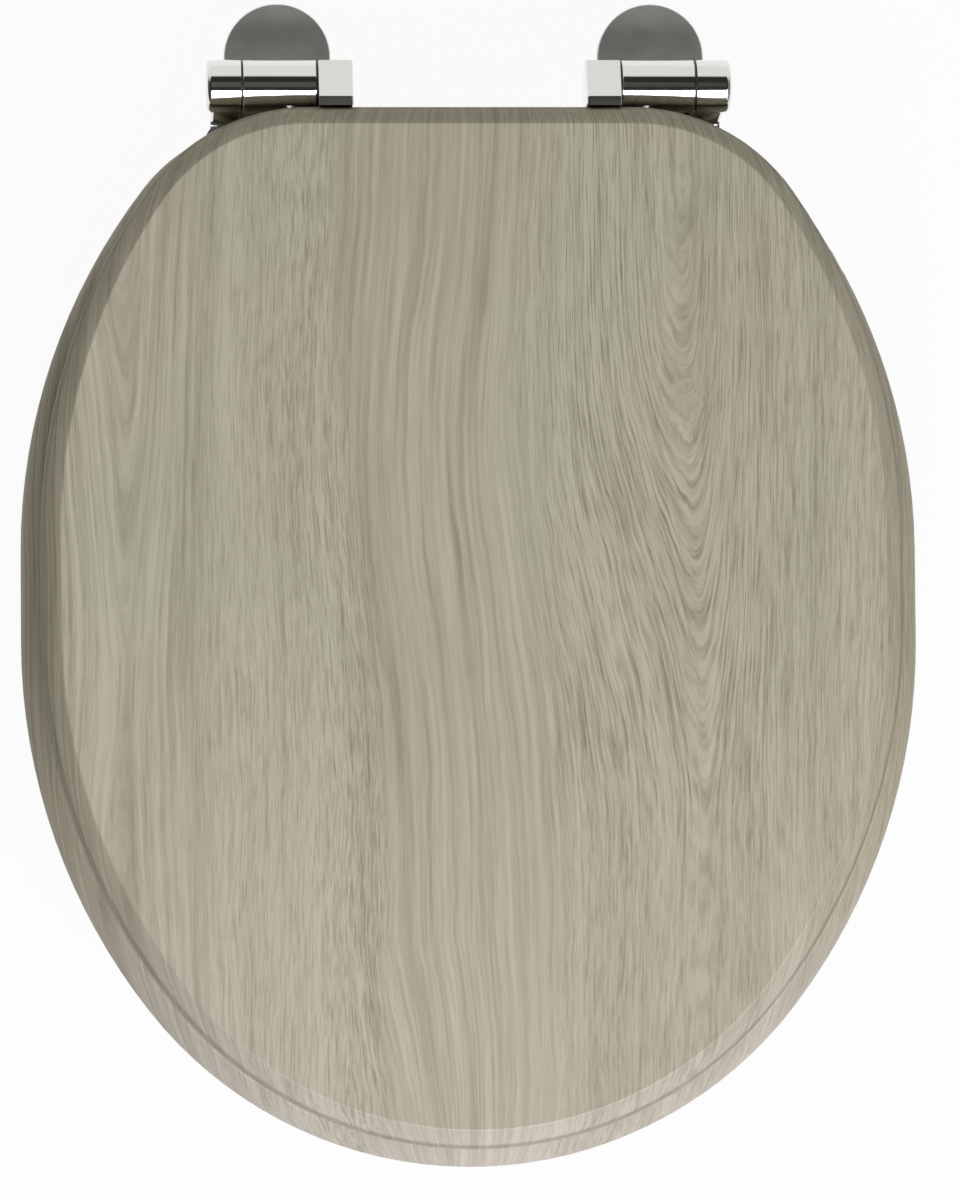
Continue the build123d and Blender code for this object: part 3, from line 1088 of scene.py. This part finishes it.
@dataclass
class FixingBolt:
    """Countersunk bolt through the foot, with a cut thread on the length below the pan."""

    node: str
    material: Material
    pitch: float = 1.0 * MILLIMETRE
    root: float = 2.42 * MILLIMETRE
    crest: float = 2.97 * MILLIMETRE
    flank_share: float = 0.38
    flat_share: float = 0.12
    spare_below: float = 2.01
    spare_turns: int = 4
    neck: float = 2.7 * MILLIMETRE
    head: float = 5.75 * MILLIMETRE
    head_depth: float = 2.75 * MILLIMETRE
    tip_share: float = 0.74
    steps: int = 24
    crease: float = radians(40)

    def build(self) -> None:
        """Model the thread and the head, join them and put them in place."""
        low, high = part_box(self.node)
        shank = self.thread(low.z)
        head = self.countersunk(high.z)
        place = Vector(((low.x + high.x) / 2, (low.y + high.y) / 2, 0.0))
        bolt = joined_at(shank, head, f"{self.node}_threaded", place)
        register(bolt, self.node, self.material)

    def thread(self, tip: float) -> Object:
        """Wind the profile of the thread round the axis and cut it square at the pan and at the tip.

        Args:
            tip: Height of the lower end.

        Returns:
            The closed threaded length.
        """
        shank = self.profile(tip - self.spare_below * self.pitch)
        bpy.ops.object.modifier_add(type="SCREW")
        winding = shank.modifiers[-1]
        winding.screw_offset = self.pitch
        winding.iterations = int(-tip / self.pitch) + self.spare_turns
        winding.steps = winding.render_steps = self.steps
        winding.use_merge_vertices = True
        winding.merge_threshold = MERGE
        bpy.ops.object.modifier_apply(modifier=winding.name)
        edit_mode()
        for height, facing in ((0.0, 1.0), (tip, -1.0)):
            bpy.ops.mesh.select_all(action="SELECT")
            bpy.ops.mesh.bisect(
                plane_co=(0.0, 0.0, height),
                plane_no=(0.0, 0.0, facing),
                use_fill=True,
                clear_outer=True,
                threshold=CUT,
            )
        choose(shank, lambda co: co.z < tip + NEAR)
        resized(self.tip_share, self.tip_share, 1.0)
        closed(self.crease)
        return shank

    def profile(self, start: float) -> Object:
        """Draw one turn of the thread as a line beside the axis.

        Args:
            start: Height of its lower end.

        Returns:
            The line.
        """
        line = added(bpy.ops.mesh.primitive_plane_add, size=self.pitch)
        edit_mode()
        bpy.ops.mesh.select_mode(type="VERT")
        bpy.ops.mesh.select_all(action="SELECT")
        bpy.ops.mesh.merge(type="CENTER")
        bpy.ops.transform.translate(value=(self.root, 0.0, start))
        rise = self.crest - self.root
        flank, flat = self.flank_share * self.pitch, self.flat_share * self.pitch
        for out, up in ((rise, flank), (0.0, flat), (-rise, flank), (0.0, flat)):
            bpy.ops.mesh.extrude_vertices_move(TRANSFORM_OT_translate={"value": (out, 0.0, up)})
        object_mode()
        return line

    def countersunk(self, top: float) -> Object:
        """Draw the plain neck and the countersunk head up from the pan.

        Args:
            top: Height of the head.

        Returns:
            The closed head.
        """
        circle = bpy.ops.mesh.primitive_circle_add
        head = added(circle, vertices=self.steps, radius=self.neck, fill_type="NGON")
        edit_mode()
        drawn_up(top - self.head_depth, 1.0)
        drawn_up(self.head_depth, self.head / self.neck)
        closed(self.crease)
        return head


@dataclass
class WoodScrews:
    """Two countersunk wood screws of each leaf, with crossed slots in their heads."""

    nodes: Sequence[str]
    material: Material
    head: float = 4.0 * MILLIMETRE
    head_depth: float = 2.0 * MILLIMETRE
    shank: float = 2.0 * MILLIMETRE
    point: float = 0.3 * MILLIMETRE
    point_length: float = 3.5 * MILLIMETRE
    slot_length: float = 4.6 * MILLIMETRE
    slot_width: float = 0.9 * MILLIMETRE
    slot_depth: float = 1.2 * MILLIMETRE
    slot_taper: float = 0.7
    steps: int = 32
    crease: float = radians(40)

    def build(self) -> None:
        """Model one screw and set copies of it into every leaf."""
        low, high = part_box(self.nodes[0])
        pattern = self.screw(high.z - low.z)
        for node in self.nodes:
            register(self.pair(pattern, node), node, self.material)
        bpy.data.objects.remove(pattern)

    def screw(self, length: float) -> Object:
        """Model a screw that stands on its head, point up.

        Args:
            length: Length from the head to the point.

        Returns:
            The screw.
        """
        circle = bpy.ops.mesh.primitive_circle_add
        screw = added(circle, vertices=self.steps, radius=self.head, fill_type="NGON")
        edit_mode()
        drawn_up(self.head_depth, self.shank / self.head)
        drawn_up(length - self.head_depth - self.point_length, 1.0)
        drawn_up(self.point_length, self.point / self.shank)
        closed(self.crease)
        self.cut_slot(screw, self.slot_length, self.slot_width)
        self.cut_slot(screw, self.slot_width, self.slot_length)
        bpy.ops.object.shade_smooth_by_angle(angle=self.crease)
        return screw

    def cut_slot(self, screw: Object, wide: float, deep: float) -> None:
        """Cut one slot of the cross into the head, and leave the screw active.

        Args:
            screw: Screw on its head.
            wide: Size of the slot across.
            deep: Size of the slot forward.
        """
        bar = added(bpy.ops.mesh.primitive_cube_add, size=1.0)
        edit_mode()
        resized(wide, deep, 2 * self.slot_depth)
        choose(bar, lambda co: co.z > 0.0)
        resized(self.slot_taper, self.slot_taper, 1.0)
        object_mode()
        only(screw)
        bpy.ops.object.modifier_add(type="BOOLEAN")
        cut = screw.modifiers[-1]
        cut.operation = "DIFFERENCE"
        cut.object = bar
        bpy.ops.object.modifier_apply(modifier=cut.name)
        bpy.data.objects.remove(bar)

    def pair(self, pattern: Object, node: str) -> Object:
        """Copy the screw twice into the box of its solid.

        Args:
            pattern: Screw to copy.
            node: Name of the solid.

        Returns:
            Both screws as one object.
        """
        low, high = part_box(node)
        rear, front = twin(pattern), twin(pattern)
        rear.location.y = high.y - low.y - 2 * self.head
        place = Vector(((low.x + high.x) / 2, low.y + self.head, low.z))
        return joined_at(front, rear, f"{node}_slotted", place)


@dataclass(frozen=True)
class Softbox:
    """Large soft lamp: degrees right of the front and above the floor, metres and watts."""

    name: str
    azimuth: float
    height: float
    away: float
    size: tuple[float, float]
    power: float

    def build(self, aim: Vector) -> None:
        """Hang the lamp.

        Args:
            aim: Point that it looks at.
        """
        turn, lift = radians(self.azimuth), radians(self.height)
        offset = Vector((sin(turn) * cos(lift), -cos(turn) * cos(lift), sin(lift)))
        lamp = added(bpy.ops.object.light_add, type="AREA", location=aim + self.away * offset)
        lamp.name = self.name
        lamp.rotation_euler = offset.to_track_quat("Z", "Y").to_euler()
        lamp.data.shape = "RECTANGLE"
        lamp.data.size, lamp.data.size_y = self.size
        lamp.data.energy = self.power


@dataclass(frozen=True)
class Surroundings:
    """Plain room: a glow low at the rear, walls that only mirrors show, a dark ceiling, white behind.

    Spans are over the direction of a ray: across to the right, to the rear, and up.
    """

    dim: Colour = (0.03, 0.03, 0.03)
    glow: Colour = (1.5, 1.5, 1.46)
    glow_rear: Span = Span(0.3, 0.75)
    glow_up: Span = Span(0.60, 0.38)
    left_wall: Colour = (0.06, 0.06, 0.06)
    right_wall: Colour = (0.22, 0.22, 0.215)
    walls_across: Span = Span(-0.6, 0.5)
    rear_wall: Colour = (0.86, 0.86, 0.83)
    rear_wall_rear: Span = Span(0.1, 0.6)
    ceiling: Colour = (0.03, 0.028, 0.025)
    ceiling_up: Span = Span(0.76, 0.84)
    zenith_left: Colour = (0.10, 0.103, 0.092)
    zenith_right: Colour = (0.07, 0.07, 0.062)
    zenith_across: Span = Span(-0.06, 0.14)
    zenith_up: Span = Span(0.974, 0.988)

    def build(self) -> None:
        """Make the world."""
        world = bpy.data.worlds.new("studio")
        bpy.context.scene.world = world
        world.use_nodes = True
        graph = Graph(world.node_tree)
        across, rear, up = graph.parts(graph.node("ShaderNodeTexCoord").outputs["Generated"])
        path = graph.node("ShaderNodeLightPath").outputs
        low_rear = graph.product(graph.rise(rear, self.glow_rear), graph.rise(up, self.glow_up))
        lit = graph.blend(low_rear, self.dim, self.glow)
        sides = graph.blend(graph.rise(across, self.walls_across), self.left_wall, self.right_wall)
        mirrored = graph.blend(graph.rise(rear, self.rear_wall_rear), sides, self.rear_wall)
        walls = graph.blend(path["Is Glossy Ray"], lit, mirrored)
        sky = (self.zenith_left, self.zenith_right)
        zenith = graph.blend(graph.rise(across, self.zenith_across), *sky)
        overhead = graph.blend(graph.rise(up, self.zenith_up), self.ceiling, zenith)
        room = graph.blend(graph.rise(up, self.ceiling_up), walls, overhead)
        shown = graph.blend(path["Is Camera Ray"], room, PLAIN)
        background = graph.node("ShaderNodeBackground", shown)
        graph.node("ShaderNodeOutputWorld", background.outputs[0])


@dataclass
class Studio:
    """Pale floor, plain surroundings, soft lamps and the camera; camera angles in degrees."""

    floor_half: float = 4.0
    floor_drop: float = 0.0005
    floor_colour: Colour = (0.65, 0.65, 0.65)
    white_share: float = 0.95
    surroundings: Surroundings = Surroundings()
    lamps: tuple[Softbox, ...] = (
        Softbox("key", azimuth=14.0, height=50.0, away=3.0, size=(2.25, 1.75), power=95.5),
        Softbox("front", azimuth=15.0, height=12.0, away=3.0, size=(2.0, 1.1), power=29.0),
    )
    aim: Vector = Vector((0.0, -0.24, 0.04))
    camera_place: Vector = Vector((-0.143, -0.348, 2.504))
    camera_turn: tuple[float, float, float] = (2.826, -3.369, -0.44)
    focal_pixels: float = 6064.0
    frame_height: float = 1200.0
    sensor: float = 36.0

    def build(self) -> None:
        """Set up everything round the object."""
        self.floor()
        self.surroundings.build()
        for lamp in self.lamps:
            lamp.build(self.aim)
        self.camera()
        bpy.context.scene.view_settings.view_transform = "Standard"

    def floor(self) -> None:
        """Pale floor that shows almost white and keeps a soft shadow."""
        place = (0.0, 0.0, cad_box[0][2] - self.floor_drop)
        floor = added(bpy.ops.mesh.primitive_plane_add, size=2 * self.floor_half, location=place)
        floor.name = "floor"
        material, graph = new_material("pale_floor")
        matt = graph.node("ShaderNodeBsdfDiffuse", self.floor_colour)
        white = graph.node("ShaderNodeEmission")
        path = graph.node("ShaderNodeLightPath").outputs
        seen = graph.math("MAXIMUM", path["Is Camera Ray"], path["Is Glossy Ray"])
        share = graph.product(seen, self.white_share)
        mixed = graph.node("ShaderNodeMixShader", share, matt.outputs[0], white.outputs[0])
        graph.node("ShaderNodeOutputMaterial", mixed.outputs[0])
        dress(floor, material)

    def camera(self) -> None:
        """Camera almost straight above the seat."""
        turn = Euler([radians(angle) for angle in self.camera_turn])
        camera = added(bpy.ops.object.camera_add, location=self.camera_place, rotation=turn)
        camera.data.sensor_width = self.sensor
        camera.data.lens = self.focal_pixels * self.sensor / self.frame_height
        bpy.context.scene.camera = camera


def board_finish(node: str, name: str, drift: float, painted_gap_shade: Colour) -> Material:
    """Oak finish that fits one board.

    Args:
        node: Board.
        name: Name of the material.
        drift: Sideways shift of the figure in millimetres.
        painted_gap_shade: Tint of the painted shade on the lowest part of its edge, drawn where the
            lid hangs over the seat ring.

    Returns:
        The material.
    """
    low, high = (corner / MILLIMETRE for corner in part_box(node))
    finish = OakFinish(
        name=name,
        top=high.z,
        half_width=(high.x - low.x) / 2,
        half_length=(high.y - low.y) / 2,
        middle=(high.y + low.y) / 2,
        drift=drift,
        painted_gap_shade=painted_gap_shade,
    )
    return finish.material()


def hinge_nodes(*kinds: str) -> list[str]:
    """Names of the same pieces on both hinges."""
    return [f"{side.value}_{kind}" for kind in kinds for side in Side]


def buffer_nodes() -> list[str]:
    """Names of all the buffers."""
    places = [f"{place}_{side.value}" for place in ("front", "rear") for side in Side]
    return [f"{board}_buffer_{place}" for board in ("seat", "lid") for place in places]


def main() -> None:
    """Build and dress every piece, then the studio."""
    logging.basicConfig(level=logging.INFO, format="%(message)s")
    plate, bare = (0.80, 0.80, 0.78), (0.52, 0.51, 0.49)
    black, grey = linear(44, 43, 42), linear(126, 126, 122)
    chrome = MetalFinish("polished_chrome", plate, roughness=0.07).material()
    steel = MetalFinish("plain_steel", bare, roughness=0.34, unevenness=0.08, grain=1.2).material()
    satin = MetalFinish("satin_chrome", plate, roughness=0.42).material()
    nylon = SoftFinish("black_nylon", black, roughness=0.5, skin=0.4).material()
    rubber = SoftFinish("grey_rubber", grey, roughness=0.7, skin=0.3).material()
    # The lid's painted_gap_shade is painted shade for the gap over the seat ring; the ring gets none.
    lid_oak = board_finish("lid", "lid_oak", drift=0.0, painted_gap_shade=(0.66, 0.65, 0.62))
    ring_oak = board_finish("seat_ring", "ring_oak", drift=9.0, painted_gap_shade=PLAIN)
    plated = hinge_nodes("hinge_foot", "seat_leaf", "pin_cap")
    SmoothCopies(["lid"], Slot.OAK, lid_oak, "board").build()
    SmoothCopies(["seat_ring"], Slot.OAK, ring_oak, "board").build()
    SmoothCopies(hinge_nodes("foot_cover"), Slot.CHROME, satin, "plated").build()
    SmoothCopies(plated, Slot.CHROME, chrome, "plated").build()
    LidLeaves(hinge_nodes("lid_leaf"), Slot.CHROME, chrome, "plated").build()
    SmoothCopies(hinge_nodes("gasket") + buffer_nodes(), Slot.RUBBER, rubber, "soft").build()
    SmoothCopies(hinge_nodes("seat_bush", "lid_bush"), Slot.NYLON, nylon, "turned").build()
    SmoothCopies(hinge_nodes("hinge_pin"), Slot.STEEL, steel, "turned").build()
    for node in hinge_nodes("fixing_bolt"):
        FixingBolt(node, steel).build()
    WoodScrews(hinge_nodes("seat_leaf_screws", "lid_leaf_screws"), steel).build()
    Studio().build()


if __name__ == "__main__":
    main()
